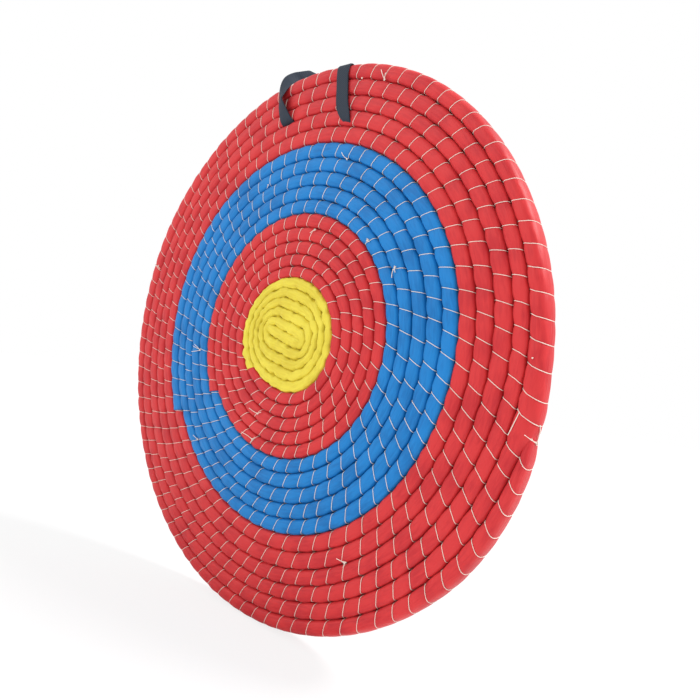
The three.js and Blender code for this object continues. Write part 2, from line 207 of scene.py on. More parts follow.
def tube_object(name, rings, texture_s, texture_v, attributes=None):
    """A tube with closed ends through rings of corners. Its UV map is in metres along and around
    it, and each attribute has a value for every corner."""
    count, corners = rings.shape[:2]
    mesh = bpy.data.meshes.new(name)
    i, k = np.meshgrid(np.arange(count - 1), np.arange(corners), indexing="ij")
    near, far = i * corners, (i + 1) * corners
    following = (k + 1) % corners
    quads = np.stack([near + k, far + k, far + following, near + following], -1).reshape(-1, 4)
    start_cap = list(range(corners))
    end_cap = list(range(count * corners - 1, (count - 1) * corners - 1, -1))
    faces = [*quads.tolist(), start_cap, end_cap]
    mesh.from_pydata(rings.reshape(-1, 3).tolist(), [], faces)
    smooth = np.ones(len(faces), bool)
    smooth[-2:] = False
    mesh.polygons.foreach_set("use_smooth", smooth)
    uv = mesh.uv_layers.new(name="cloth")
    along = np.broadcast_to(texture_s, (count, corners + 1))
    around = np.broadcast_to(texture_v, (count, corners + 1))
    quad_uv = np.stack([
        np.stack([along[i, k], around[i, k]], -1),
        np.stack([along[i + 1, k], around[i + 1, k]], -1),
        np.stack([along[i + 1, k + 1], around[i + 1, k + 1]], -1),
        np.stack([along[i, k + 1], around[i, k + 1]], -1),
    ], 2).reshape(-1, 2)
    cap_uv = np.concatenate([
        np.stack([along[0, :-1], around[0, :-1]], -1), np.stack([along[-1, -2::-1], around[-1, -2::-1]], -1)])
    uv.data.foreach_set("uv", np.concatenate([quad_uv, cap_uv]).astype(np.float32).ravel())
    for label, values in (attributes or {}).items():
        layer = mesh.attributes.new(label, "FLOAT", "POINT")
        layer.data.foreach_set("value", values.astype(np.float32).ravel())
    piece = bpy.data.objects.new(name, mesh)
    scene.collection.objects.link(piece)
    return piece


straw_from_start = 0.003
straw_from_end = 0.012
straw_rings_count = 1400
straw_corners = 12
straw_width_share = 0.58
straw_depth_share = 0.72
straw_girth = 0.04
stalk_ridges = 5
stalk_height = 0.07
stalk_twist = 55
straw_s = np.linspace(straw_from_start, rope_length - straw_from_end, straw_rings_count)[:, None]
straw_angle = np.linspace(0, 2 * math.pi, straw_corners, endpoint=False)[None, :]
stalks = 1 + stalk_height * np.cos(stalk_ridges * straw_angle + straw_s * stalk_twist)
straw_rings = rope_points(straw_s, straw_width_share * stalks * np.cos(straw_angle),
                          straw_depth_share * stalks * np.sin(straw_angle), 0.0, 0.0)
straw_uv = np.linspace(0, straw_girth, straw_corners + 1)[None, :]
straw_rope = tube_object("straw_rope", straw_rings, straw_s, straw_uv)
straw = bpy.data.materials.new("dry straw")
straw.use_nodes = True
nodes, links = straw.node_tree.nodes, straw.node_tree.links
shader = nodes["Principled BSDF"]
shader.inputs["Roughness"].default_value = 0.85
uv_node = nodes.new("ShaderNodeUVMap")
uv_node.uv_map = "cloth"
stretch = nodes.new("ShaderNodeMapping")
stretch.inputs["Scale"].default_value = (12, 900, 1)
grain = nodes.new("ShaderNodeTexNoise")
grain.inputs["Scale"].default_value = 1.0
grain.inputs["Detail"].default_value = 4.0
tones = nodes.new("ShaderNodeValToRGB")
tones.color_ramp.elements[0].position = 0.3
tones.color_ramp.elements[0].color = (0.36, 0.24, 0.09, 1)
tones.color_ramp.elements[1].position = 0.72
tones.color_ramp.elements[1].color = (0.72, 0.56, 0.27, 1)
links.new(uv_node.outputs["UV"], stretch.inputs["Vector"])
links.new(stretch.outputs["Vector"], grain.inputs["Vector"])
links.new(grain.outputs["Fac"], tones.inputs["Fac"])
links.new(tones.outputs["Color"], shader.inputs["Base Color"])
straw_bump = nodes.new("ShaderNodeBump")
straw_bump.inputs["Strength"].default_value = 0.6
straw_bump.inputs["Distance"].default_value = 0.0006
links.new(grain.outputs["Fac"], straw_bump.inputs["Height"])
links.new(straw_bump.outputs["Normal"], shader.inputs["Normal"])
straw_rope.data.materials.append(straw)
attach(straw_rope, "boss")
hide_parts("straw_core")

# Gold wrap
# A strip of smooth gold cloth wound round the first five turns of the straw. It is sewn from
# turn to turn inside the grooves, so no thread shows, only the dents that the stitches pull.
# The hardest pulled dents and the grooves are darkened with painted shade.
chance = np.random.default_rng(44)
colour_change_turns = [5.136, 10.1215, 15.115]
wrap_ends = np.interp(colour_change_turns, fine_turn, fine_length)
start_bearing = math.radians(169.25)
ring_corners = 20
ring_angle = np.linspace(-math.pi, math.pi, ring_corners, endpoint=False)
free_from_turns = [19.44, 19.50]
pressed_square = 4.4
free_less_square = 1.8
stitch_slant = 0.38
slant_change = 0.16
steepest_bearing = math.radians(290)


def free_side(s, out_share):
    """1 on the outer side of the last turn, which no neighbour presses, and 0 elsewhere."""
    return np.interp(np.interp(s, rope_s, rope_turn), free_from_turns, [0, 1]) * (out_share > 0)


def section(s):
    """Corners of the rope's section, as shares out and to the front. Neighbours press each other
    square; the free side of the last turn stays round."""
    power = 2 / (pressed_square - free_less_square * free_side(s[:, None], np.cos(ring_angle)))
    cos, sin = np.cos(ring_angle), np.sin(ring_angle)
    return np.sign(cos) * np.abs(cos) ** power, np.sign(sin) * np.abs(sin) ** power


def slanted(s, out_share):
    """A stitch and the cloth beside it lie askew: their inner end is further along the rope."""
    width = np.interp(s, rope_s, inner_half + outer_half)
    bearing = start_bearing + 2 * math.pi * np.interp(s, rope_s, rope_turn)
    slant = stitch_slant + slant_change * np.cos(bearing - steepest_bearing)
    return s - slant * width / 2 * out_share


beside_pinch = np.array([0, 0.0008, 0.0018, 0.0032, 0.0052])
usual_spacing = 0.013
ring_spacing = 0.007
sharp_reach = 0.0013
broad_reach = 0.0046
free_side_spared = 0.7
usual_half_width = 0.0063
fullness_range = (0.4, 1.5)
pull_range = (0.8, 1.2)
hard_pull = 0.98
sharp_part = 0.6
broad_part = 0.4
any_phase = 6.28
ripple_waves = 14
ripple_pace = (90, 800)
ripple_lobes = (1, 6)
ripple_height = (0.5, 1)
start_cuff = 0.002
start_cuff_drop = 0.07
end_cuff = 0.004
end_cuff_rise = 0.05
# Painted shade: how much the colour darkens where the thread draws the cloth in, and in the grooves between
# turns
crown_crease_shade = 0.12
side_crease_shade = 0.9
groove_shade_from = 0.90
groove_shade_reach = 0.10
groove_shade_sewn = 0.55
groove_shade_plain = 0.2


def cloth_wrap(name, start, end, pinches, crown_pinch, side_pinch, fullness, looseness, snug, sewn_over):
    """Cloth on a stretch of the rope. Each pinch draws it in, by crown_pinch at the front and back
    and side_pinch at the sides, and it swells between them by fullness. looseness ripples it, and
    snug presses its sides into the next turns. Cloth that isn't sewn over shows only dents. Two
    attributes mark painted shade, darker where the thread draws the cloth in and in the grooves."""
    edges = np.concatenate([[start], pinches, [end]])
    places, owners = [], []
    for cell, (a, b) in enumerate(zip(edges[:-1], edges[1:])):
        near = beside_pinch * min(1, (b - a) / usual_spacing)
        middle = np.linspace(a + near[-1], b - near[-1], max(3, round((b - a) / ring_spacing)))[1:-1]
        spots = np.concatenate([a + near, middle, b - near[:0:-1]])
        places.append(spots)
        owners.append(np.full(len(spots), cell))
    s = np.concatenate([*places, [end]])
    owner = np.concatenate([*owners, [len(edges) - 2]])
    out_share, depth_share = section(s)
    away = np.abs(s[:, None] - pinches[None, :]).min(1)
    sharp = np.exp(-(away / sharp_reach) ** 2)
    broad = np.exp(-(away / broad_reach) ** 2)
    full = fullness * chance.uniform(*fullness_range, len(edges))[owner]
    pull = chance.uniform(*pull_range, len(edges))[owner]
    ring_s = slanted(s[:, None], out_share)
    draw = (sharp_part * sharp + broad_part * broad) * pull
    ripple = np.zeros(ring_s.shape)
    for _ in range(ripple_waves):
        pace = chance.uniform(*ripple_pace)
        lobes = chance.integers(*ripple_lobes)
        height = chance.uniform(*ripple_height)
        ripple += height * np.sin(pace * ring_s + lobes * ring_angle + chance.uniform(0, any_phase))
    ripple *= looseness / 4
    swell = (full * (1 - broad))[:, None]
    lift = swell - (draw * crown_pinch)[:, None] + ripple * np.abs(depth_share)
    inset = (draw * side_pinch)[:, None] * (1 if sewn_over else depth_share ** 2)
    inset = inset - swell - ripple * np.abs(out_share)
    inset *= 1 - free_side_spared * free_side(s[:, None], out_share)
    from_start = np.clip((s - start) / start_cuff, 0, 1)[:, None]
    from_end = np.clip((end - s) / end_cuff, 0, 1)[:, None]
    cuff = 1 + end_cuff_rise * (1 - from_end) - start_cuff_drop * (1 - from_start)
    rings = rope_points(ring_s, out_share, depth_share, inset, lift, cuff * snug, cuff)
    sides = np.hypot(np.diff(out_share[0]) * usual_half_width, np.diff(depth_share[0]) * half_thickness)
    around = np.concatenate([[0], np.cumsum(sides)])
    around = np.append(around, around[-1] + around[1])[None, :]
    texture_s = np.concatenate([ring_s, ring_s[:, :1]], 1)
    # Painted shade, kept as two attributes: darker where the thread draws the cloth in, and in the grooves
    # beside the next turns
    dented = 1 if sewn_over else (pull > hard_pull)[:, None]
    crease_shade = np.clip(draw[:, None] * (crown_crease_shade * sewn_over + side_crease_shade * out_share ** 4) * dented, 0, 1)
    groove_shade = np.clip((np.abs(out_share) - groove_shade_from) / groove_shade_reach, 0, 1)
    groove_shade *= groove_shade_sewn if sewn_over else groove_shade_plain
    return tube_object(name, rings, texture_s, around, {"crease_shade": crease_shade, "groove_shade": groove_shade})


def cloth_material(name, colour, shade_colour, pale_colour, wrinkle):
    """Closely woven cloth, pulled tight: a fine weave, faint creases along the rope, and painted
    shade, a darker colour in the grooves and where the thread draws the cloth in."""
    weave_scale = 260.0
    cloth = bpy.data.materials.new(name)
    cloth.use_nodes = True
    nodes, links = cloth.node_tree.nodes, cloth.node_tree.links
    shader = nodes["Principled BSDF"]
    shader.inputs["Roughness"].default_value = 0.50
    shader.inputs["Sheen Weight"].default_value = 0.03
    shader.inputs["Sheen Roughness"].default_value = 0.45
    shader.inputs["Specular IOR Level"].default_value = 0.24
    uv_node = nodes.new("ShaderNodeUVMap")
    uv_node.uv_map = "cloth"
    long_creases = nodes.new("ShaderNodeMapping")
    long_creases.inputs["Scale"].default_value = (70, 420, 1)
    links.new(uv_node.outputs["UV"], long_creases.inputs["Vector"])
    creases = nodes.new("ShaderNodeTexNoise")
    creases.inputs["Scale"].default_value = 1.0
    creases.inputs["Detail"].default_value = 3.0
    creases.inputs["Distortion"].default_value = 0.6
    links.new(long_creases.outputs["Vector"], creases.inputs["Vector"])
    patches = nodes.new("ShaderNodeTexNoise")
    patches.inputs["Scale"].default_value = 38.0
    patches.inputs["Detail"].default_value = 2.0
    place = nodes.new("ShaderNodeTexCoord")
    links.new(place.outputs["Object"], patches.inputs["Vector"])
    tone = nodes.new("ShaderNodeValToRGB")
    tone.color_ramp.elements[0].position = 0.66
    tone.color_ramp.elements[0].color = (*colour, 1)
    tone.color_ramp.elements[1].position = 1.0
    tone.color_ramp.elements[1].color = (*pale_colour, 1)
    uneven = nodes.new("ShaderNodeMath")
    uneven.operation = "MULTIPLY_ADD"
    uneven.inputs[1].default_value = 0.8
    links.new(creases.outputs["Fac"], uneven.inputs[0])
    links.new(patches.outputs["Fac"], uneven.inputs[2])
    links.new(uneven.outputs["Value"], tone.inputs["Fac"])
    # Painted shade: the crease and groove attributes, broken up along the creases, mix the colour toward the
    # shade colour
    crease_shade = nodes.new("ShaderNodeAttribute")
    crease_shade.attribute_name = "crease_shade"
    groove_shade = nodes.new("ShaderNodeAttribute")
    groove_shade.attribute_name = "groove_shade"
    painted_shade = nodes.new("ShaderNodeMath")
    painted_shade.operation = "MAXIMUM"
    links.new(crease_shade.outputs["Fac"], painted_shade.inputs[0])
    links.new(groove_shade.outputs["Fac"], painted_shade.inputs[1])
    streak = nodes.new("ShaderNodeMapRange")
    streak.inputs["From Min"].default_value = 0.35
    streak.inputs["From Max"].default_value = 0.65
    streak.inputs["To Min"].default_value = 0.25
    streak.inputs["To Max"].default_value = 0.75
    links.new(creases.outputs["Fac"], streak.inputs["Value"])
    amount = nodes.new("ShaderNodeMath")
    amount.operation = "MULTIPLY"
    links.new(painted_shade.outputs["Value"], amount.inputs[0])
    links.new(streak.outputs["Result"], amount.inputs[1])
    shade_paint = nodes.new("ShaderNodeMix")
    shade_paint.data_type = "RGBA"
    shade_paint.inputs["B"].default_value = (*shade_colour, 1)
    links.new(amount.outputs["Value"], shade_paint.inputs["Factor"])
    links.new(tone.outputs["Color"], shade_paint.inputs["A"])
    links.new(shade_paint.outputs["Result"], shader.inputs["Base Color"])
    weave = nodes.new("ShaderNodeTexWave")
    weave.bands_direction = "X"
    weave.inputs["Scale"].default_value = weave_scale
    links.new(uv_node.outputs["UV"], weave.inputs["Vector"])
    weft = nodes.new("ShaderNodeTexWave")
    weft.bands_direction = "Y"
    weft.inputs["Scale"].default_value = weave_scale
    links.new(uv_node.outputs["UV"], weft.inputs["Vector"])
    threads = nodes.new("ShaderNodeMath")
    threads.operation = "MULTIPLY"
    links.new(weave.outputs["Fac"], threads.inputs[0])
    links.new(weft.outputs["Fac"], threads.inputs[1])
    fine_bump = nodes.new("ShaderNodeBump")
    fine_bump.inputs["Strength"].default_value = 0.18
    fine_bump.inputs["Distance"].default_value = 0.00008
    links.new(threads.outputs["Value"], fine_bump.inputs["Height"])
    bump = nodes.new("ShaderNodeBump")
    bump.inputs["Strength"].default_value = wrinkle
    bump.inputs["Distance"].default_value = 0.0007
    links.new(creases.outputs["Fac"], bump.inputs["Height"])
    links.new(fine_bump.outputs["Normal"], bump.inputs["Normal"])
    links.new(bump.outputs["Normal"], shader.inputs["Normal"])
    return cloth


gold_start = -0.0050
first_dent = 0.004
last_dent_from_end = 0.006
dents_at_most = 90
gold_pinches = np.cumsum(chance.uniform(0.010, 0.019, dents_at_most)) + first_dent
gold_pinches = gold_pinches[gold_pinches < wrap_ends[0] - last_dent_from_end]
gold_rope = cloth_wrap("gold_rope", gold_start, wrap_ends[0], gold_pinches, crown_pinch=0.0002,
                       side_pinch=0.0011, fullness=0.00012, looseness=0.0008, snug=1.13, sewn_over=False)
gold_cloth = cloth_material("gold cloth", colour=(0.63, 0.50, 0.036), shade_colour=(0.30, 0.25, 0.020),
                            pale_colour=(0.75, 0.63, 0.060), wrinkle=0.70)
gold_rope.data.materials.append(gold_cloth)
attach(gold_rope, "boss")
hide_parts("gold_wrap")

# Inner red wrap
# Red cloth, from the end of the gold to the start of the blue. The thread goes round it every
# 17 mm and draws it into a row of small pillows. Its cut end shows as a step.
tucked_under = 0.0015
stitch_from_end = 0.003
sewn_cloth = {"crown_pinch": 0.0006, "side_pinch": 0.0007, "fullness": 0.00030, "looseness": 0.00018,
              "snug": 1.05, "sewn_over": True}

# Millimetres of rope from every fifth stitch to the next fifth one, from the first stitch in
# the middle to the tail. The stitches between them are evenly spaced, all but a little. One
# more is on the tail, and the two beside the tail's tip stand apart.
first_stitch = 1.074
stitches_a_run = 5
stitch_unevenness = 0.0006
last_stitch_beyond = 0.018
stitches_beside_tail_tip = slice(-91, -89)
tail_tip_stitches_moved = [-0.0035, 0.0027]
stitch_runs = [
    83, 77, 78, 76, 68, 75, 79, 76, 76, 74, 66, 88, 78, 73, 76, 77, 76, 74, 77, 81, 78, 72, 76, 85, 77,
    75, 73, 83, 84, 74, 79, 81, 73, 70, 75, 78, 78, 82, 72, 77, 87, 80, 76, 80, 89, 83, 88, 86, 83, 88,
    79, 87, 83, 89, 86, 82, 83, 89, 83, 89, 82, 83, 82, 77, 87, 78, 83, 78, 85, 84, 90, 83, 81, 89, 85,
    86, 80, 82, 82, 75, 82, 78, 75, 84, 86, 82, 86, 91, 81, 80, 88, 89, 79, 90, 84, 80, 88, 84, 84, 87,
    87, 89, 83, 93, 94, 87, 86, 88, 89, 91, 86, 92, 91, 88, 85, 92, 83, 83, 86, 94, 89, 92, 85, 91, 92,
    97, 96, 89, 83, 92, 84, 82, 78, 86, 82, 89, 85, 91, 89, 87, 90, 90, 92, 94, 84, 82, 80, 84, 86, 87,
    87, 93, 87, 81, 84, 80, 83, 86, 82, 85, 84, 83, 87, 84, 87, 84, 80, 90, 87, 84,
]
fifth = first_stitch + np.concatenate([[0], np.cumsum(stitch_runs)]) / 1000
stitch_count = stitches_a_run * len(stitch_runs) + 2
stitch_s = np.interp(np.arange(stitch_count) / stitches_a_run, np.arange(len(fifth)), fifth)
stitch_s[-1] += last_stitch_beyond
stitch_s[stitches_beside_tail_tip] += tail_tip_stitches_moved
stitch_s += chance.uniform(-stitch_unevenness, stitch_unevenness, stitch_count)
red_stitches = stitch_s[(stitch_s > wrap_ends[0]) & (stitch_s < wrap_ends[1] - stitch_from_end)]
inner_red_rope = cloth_wrap("inner_red_rope", wrap_ends[0] - tucked_under, wrap_ends[1], red_stitches,
                            **sewn_cloth)
red_cloth = cloth_material("red cloth", colour=(0.475, 0.018, 0.0245), shade_colour=(0.38, 0.014, 0.018),
                           pale_colour=(0.585, 0.030, 0.033), wrinkle=0.65)
inner_red_rope.data.materials.append(red_cloth)
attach(inner_red_rope, "boss")
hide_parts("inner_red_wrap")

# Blue wrap
# Blue cloth on the next five turns, wound and stitched as the red is. Its start is tucked under
# the red, and both its ends show as square steps one above the other.
blue_stitches = stitch_s[(stitch_s > wrap_ends[1]) & (stitch_s < wrap_ends[2] - stitch_from_end)]
blue_rope = cloth_wrap("blue_rope", wrap_ends[1] - tucked_under, wrap_ends[2], blue_stitches,
                       **sewn_cloth)
blue_cloth = cloth_material("blue cloth", colour=(0.002, 0.138, 0.41), shade_colour=(0.003, 0.070, 0.26),
                            pale_colour=(0.005, 0.188, 0.52), wrinkle=0.65)
blue_rope.data.materials.append(blue_cloth)
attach(blue_rope, "boss")
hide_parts("blue_wrap")

# Outer red wrap
# Red cloth again, on the widest five turns. The end of the rope narrows to a flat tail that
# is pressed and sewn against the turn inside it, so that the rim has no step.
outer_stitches = stitch_s[stitch_s > wrap_ends[2]]
outer_red_rope = cloth_wrap("outer_red_rope", wrap_ends[2] - tucked_under, rope_length, outer_stitches,
                            **sewn_cloth)
outer_red_rope.data.materials.append(red_cloth)
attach(outer_red_rope, "boss")
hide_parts("outer_red_wrap")

# Whip stitching
# One pale waxed cotton thread, drawn to about half a millimetre, that goes slantwise over the
# front of every turn, down into the groove and back behind. It lies half sunk in the cloth.
thread_radius = 0.00027
thread_sides = 5
thread_facet = 0.00063
thread_sink = 0.00042
side_sink = 1.25
stitch_length = 0.055
stitch_step = 0.0025


def thread_loop(s):
    """The middle line of one stitch round the rope, with the directions away from the rope."""
    out_share, depth_share = (share[0] for share in section(np.array([s])))
    drawn_in = side_sink * thread_sink * (1 - free_side_spared * free_side(s, out_share))
    line = rope_points(slanted(s, out_share), out_share, depth_share, drawn_in, -thread_sink, sewn_cloth["snug"])
    out = line - line.mean(0)
    out /= np.linalg.norm(out, axis=1)[:, None]
    return line, out


loop_vertices, loop_faces, loop_uv = [], [], []
corner = np.linspace(0, 2 * math.pi, thread_sides, endpoint=False)
for order, s in enumerate(stitch_s):
    line, out = thread_loop(s)
    ahead = np.roll(line, -1, 0) - np.roll(line, 1, 0)
    ahead /= np.linalg.norm(ahead, axis=1)[:, None]
    side = np.cross(ahead, out)
    side /= np.linalg.norm(side, axis=1)[:, None]
    up = np.cross(side, ahead)
    ring = line[:, None] + thread_radius * (
        np.cos(corner)[None, :, None] * side[:, None] + np.sin(corner)[None, :, None] * up[:, None])
    first = order * ring.shape[0] * thread_sides
    loop_vertices.append(ring.reshape(-1, 3))
    i, k = np.meshgrid(np.arange(ring.shape[0]), np.arange(thread_sides), indexing="ij")
    near, far = i * thread_sides, (i + 1) % ring.shape[0] * thread_sides
    following = (k + 1) % thread_sides
    quads = np.stack([near + k, near + following, far + following, far + k], -1)
    loop_faces.append(first + quads.reshape(-1, 4))
    u = np.stack([i, i, i + 1, i + 1], -1).reshape(-1) * stitch_step + order * stitch_length
    v = np.stack([k, k + 1, k + 1, k], -1).reshape(-1) * thread_facet
    loop_uv.append(np.stack([u, v], -1))
stitch_mesh = bpy.data.meshes.new("whip_stitching")
stitch_mesh.from_pydata(np.concatenate(loop_vertices).tolist(), [], np.concatenate(loop_faces).tolist())
stitch_mesh.polygons.foreach_set("use_smooth", np.ones(len(stitch_mesh.polygons), bool))
thread_uv = stitch_mesh.uv_layers.new(name="thread")
thread_uv.data.foreach_set("uv", np.concatenate(loop_uv).astype(np.float32).ravel())
whip_stitching = bpy.data.objects.new("whip_stitching", stitch_mesh)
scene.collection.objects.link(whip_stitching)
thread = bpy.data.materials.new("waxed cotton thread")
thread.use_nodes = True
nodes, links = thread.node_tree.nodes, thread.node_tree.links
shader = nodes["Principled BSDF"]
shader.inputs["Roughness"].default_value = 0.6
uv_node = nodes.new("ShaderNodeUVMap")
uv_node.uv_map = "thread"
twist = nodes.new("ShaderNodeMapping")
twist.inputs["Rotation"].default_value = (0, 0, math.radians(38))
plies = nodes.new("ShaderNodeTexWave")
plies.inputs["Scale"].default_value = 420.0
plies.inputs["Distortion"].default_value = 0.4
links.new(uv_node.outputs["UV"], twist.inputs["Vector"])
links.new(twist.outputs["Vector"], plies.inputs["Vector"])
ply_tone = nodes.new("ShaderNodeValToRGB")
ply_tone.color_ramp.elements[0].color = (0.62, 0.51, 0.43, 1)
ply_tone.color_ramp.elements[1].color = (0.88, 0.79, 0.70, 1)
ply_tone.color_ramp.elements[1].position = 0.55
links.new(plies.outputs["Fac"], ply_tone.inputs["Fac"])
links.new(ply_tone.outputs["Color"], shader.inputs["Base Color"])
ply_bump = nodes.new("ShaderNodeBump")
ply_bump.inputs["Strength"].default_value = 0.5
ply_bump.inputs["Distance"].default_value = 0.0001
links.new(plies.outputs["Fac"], ply_bump.inputs["Height"])
links.new(ply_bump.outputs["Normal"], shader.inputs["Normal"])
whip_stitching.data.materials.append(thread)
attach(whip_stitching, "boss")

# Knots and loose ends
# Where one length of the thread ends, it is knotted to the next in a groove, and the ends are
# left a few millimetres long.
line_step = 0.0005
knot_gap = 0.15
knot_stations = 44
knot_depth_share = 0.4
end_corners = 6
end_facet = 0.0004
knot_front = -0.0208
loose_end_front = -0.0214
loose_end_bow = 0.0006
knot_thread_radius = 0.00030


def soft_line(points):
    """Smooth course through a few places, for the middle line of a thread."""
    points = np.array(points, float)
    padded = np.vstack([2 * points[0] - points[1], points, 2 * points[-1] - points[-2]])
    parts = []
    for p0, p1, p2, p3 in zip(padded[:-3], padded[1:-2], padded[2:-1], padded[3:]):
        f = np.linspace(0, 1, max(3, round(np.linalg.norm(p2 - p1) / line_step)), endpoint=False)[:, None]
        parts.append(0.5 * (2 * p1 + (p2 - p0) * f + (2 * p0 - 5 * p1 + 4 * p2 - p3) * f ** 2
                            + (3 * p1 - p0 - 3 * p2 + p3) * f ** 3))
    return np.vstack([*parts, points[-1]])


def knot_line(place, size):
    """Overhand knot, pulled tight, as the middle line of its thread."""
    t = np.linspace(knot_gap, 2 * math.pi - knot_gap, knot_stations)
    lie = chance.uniform(0, any_phase)
    x = (np.sin(t) + 2 * np.sin(2 * t)) * size / 3
    z = (np.cos(t) - 2 * np.cos(2 * t)) * size / 3
    y = -np.sin(3 * t) * size * knot_depth_share
    cos, sin = math.cos(lie), math.sin(lie)
    return np.array(place) + np.stack([x * cos - z * sin, y, x * sin + z * cos], -1)


def thread_object(name, courses, radius):
    """Lengths of thread with closed ends, joined in one object."""
    vertices, faces, map_places = [], [], []
    turn_round = np.linspace(0, 2 * math.pi, end_corners, endpoint=False)
    for line in courses:
        ahead = np.gradient(line, axis=0)
        ahead /= np.linalg.norm(ahead, axis=1)[:, None]
        side = np.cross(ahead[0], (0.31, 0.87, 0.38))
        first = len(vertices)
        along = 0.0
        for station, (place, forward) in enumerate(zip(line, ahead)):
            side = side - forward * side.dot(forward)
            side /= np.linalg.norm(side)
            top = np.cross(forward, side)
            vertices += [place + radius * (math.cos(a) * side + math.sin(a) * top) for a in turn_round]
            if station:
                near = first + (station - 1) * end_corners
                far = near + end_corners
                ahead_of = along + float(np.linalg.norm(place - line[station - 1]))
                for k in range(end_corners):
                    following = (k + 1) % end_corners
                    faces.append((near + k, near + following, far + following, far + k))
                    map_places += [(along, k * end_facet), (along, (k + 1) * end_facet),
                                   (ahead_of, (k + 1) * end_facet), (ahead_of, k * end_facet)]
                along = ahead_of
        last = len(vertices) - end_corners
        faces += [tuple(range(first + end_corners - 1, first - 1, -1)), tuple(range(last, last + end_corners))]
        map_places += [(0.0, 0.0)] * (2 * end_corners)
    mesh = bpy.data.meshes.new(name)
    mesh.from_pydata([tuple(v) for v in vertices], [], faces)
    mesh.polygons.foreach_set("use_smooth", np.ones(len(faces), bool))
    uv = mesh.uv_layers.new(name="thread")
    uv.data.foreach_set("uv", np.array(map_places, np.float32).ravel())
    mesh.materials.append(thread)
    piece = bpy.data.objects.new(name, mesh)
    scene.collection.objects.link(piece)
    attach(piece, "boss")
    return piece


# In millimetres: the knot's place across and up, its size, and the tips of its loose ends
small_knots = [
    ((79.1, 217.5), 0.7, [(74.5, 226.6), (79.8, 222.8)]),
    ((53.9, 224.3), 0.6, []),
    ((-222.3, 63.7), 0.7, [(-228.2, 66.1), (-216.3, 60.8), (-219.6, 65.4)]),
    ((106.1, -170.4), 0.9, [(98.1, -169.8), (108.4, -169.3), (105.7, -174.4)]),
    ((49.5, 154.8), 0.7, [(42.6, 161.3)]),
    ((-48.7, 141.8), 0.6, [(-49.2, 138.4)]),
    ((84.6, 83.6), 1.2, [(87.4, 81.8)]),
    ((115.8, 61.3), 0.8, [(114.7, 52.6), (117.2, 56.9)]),
    ((-119.4, -23.9), 0.8, [(-129.4, -19.0), (-132.8, -26.7)]),
    ((-102.0, -112.7), 0.7, [(-109.6, -110.0)]),
    ((23.0, 95.1), 0.8, [(18.0, 92.2)]),
    ((-18.0, -73.8), 0.8, [(-30.1, -70.5), (-12.9, -71.6)]),
    ((-20.6, -97.7), 0.7, [(-35.8, -93.9), (-16.9, -95.2), (-21.8, -101.6)]),
    ((235.5, 1.6), 0.35, []),
]
courses = []
for (x, z), size, ends in small_knots:
    place = (x / 1000, knot_front, z / 1000)
    courses.append(knot_line(place, size / 1000))
    for end_x, end_z in ends:
        end = (end_x / 1000, loose_end_front, end_z / 1000)
        bow = chance.uniform(-loose_end_bow, loose_end_bow, 3)
        courses.append(soft_line([place, np.add(place, end) / 2 + bow, end]))
thread_knots = thread_object("thread_knots", courses, knot_thread_radius)

# Tie-off
# Where the tail ends, the thread runs down the rim from the last stitch to a knot, and back over
# the tip of the tail. One more length of it lies in the groove inside.
tie_off_place = (0.2411, -0.0100, -0.0526)
tie_off_size = 0.00095
tie_off_thread_radius = 0.00033
tie_off_courses = [
    knot_line(tie_off_place, tie_off_size),
    soft_line([(0.2425, -0.0120, -0.0402), (0.2424, -0.0104, -0.0440), (0.2417, -0.0098, -0.0485),
               tie_off_place]),
    soft_line([(0.2361, -0.0193, -0.0478), (0.2390, -0.0159, -0.0502), (0.2404, -0.0125, -0.0517),
               tie_off_place]),
    soft_line([(0.2308, -0.0194, -0.0341), (0.2293, -0.0203, -0.0393), (0.2275, -0.0206, -0.0446),
               (0.2262, -0.0199, -0.0473), (0.2249, -0.0192, -0.0500)]),
]
tie_off = thread_object("tie_off", tie_off_courses, tie_off_thread_radius)
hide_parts("tie_off_knot")

# Left hanging loop
# A closed loop of dark 15 mm webbing, passed through the groove inside the third turn. Its
# front leg is twisted, and its crown leans back over the rim.
webbing_half_width = 0.0075
webbing_half_thickness = 0.0006
loop_stations = 140
course_steps = 40

# The webbing's section over its front face: its edges are round, with a raised selvedge
over_width = [-1, -0.97, -0.86, -0.55, -0.2, 0.2, 0.55, 0.86, 0.97, 1]
over_thickness = [0, 0.75, 1.12, 0.95, 1.0, 1.0, 0.95, 1.12, 0.75, 0]


def smooth_course(points, count):
    """Closed smooth course through rows of numbers, evenly spaced in place."""
    points = np.array(points, float)
    size = len(points)
    t = np.linspace(0, size, course_steps * size, endpoint=False)
    i = t.astype(int)
    f = (t - i)[:, None]
    p0, p1, p2, p3 = (points[(i + k) % size] for k in (-1, 0, 1, 2))
    dense = 0.5 * (2 * p1 + (p2 - p0) * f + (2 * p0 - 5 * p1 + 4 * p2 - p3) * f ** 2
                   + (3 * p1 - p0 - 3 * p2 + p3) * f ** 3)
    closed = np.concatenate([dense, dense[:1]])
    length = np.concatenate([[0], np.cumsum(np.linalg.norm(np.diff(closed[:, :3], axis=0), axis=1))])
    wanted = np.linspace(0, length[-1], count, endpoint=False)
    return np.stack([np.interp(wanted, length, closed[:, k]) for k in range(closed.shape[1])], -1), length[-1]


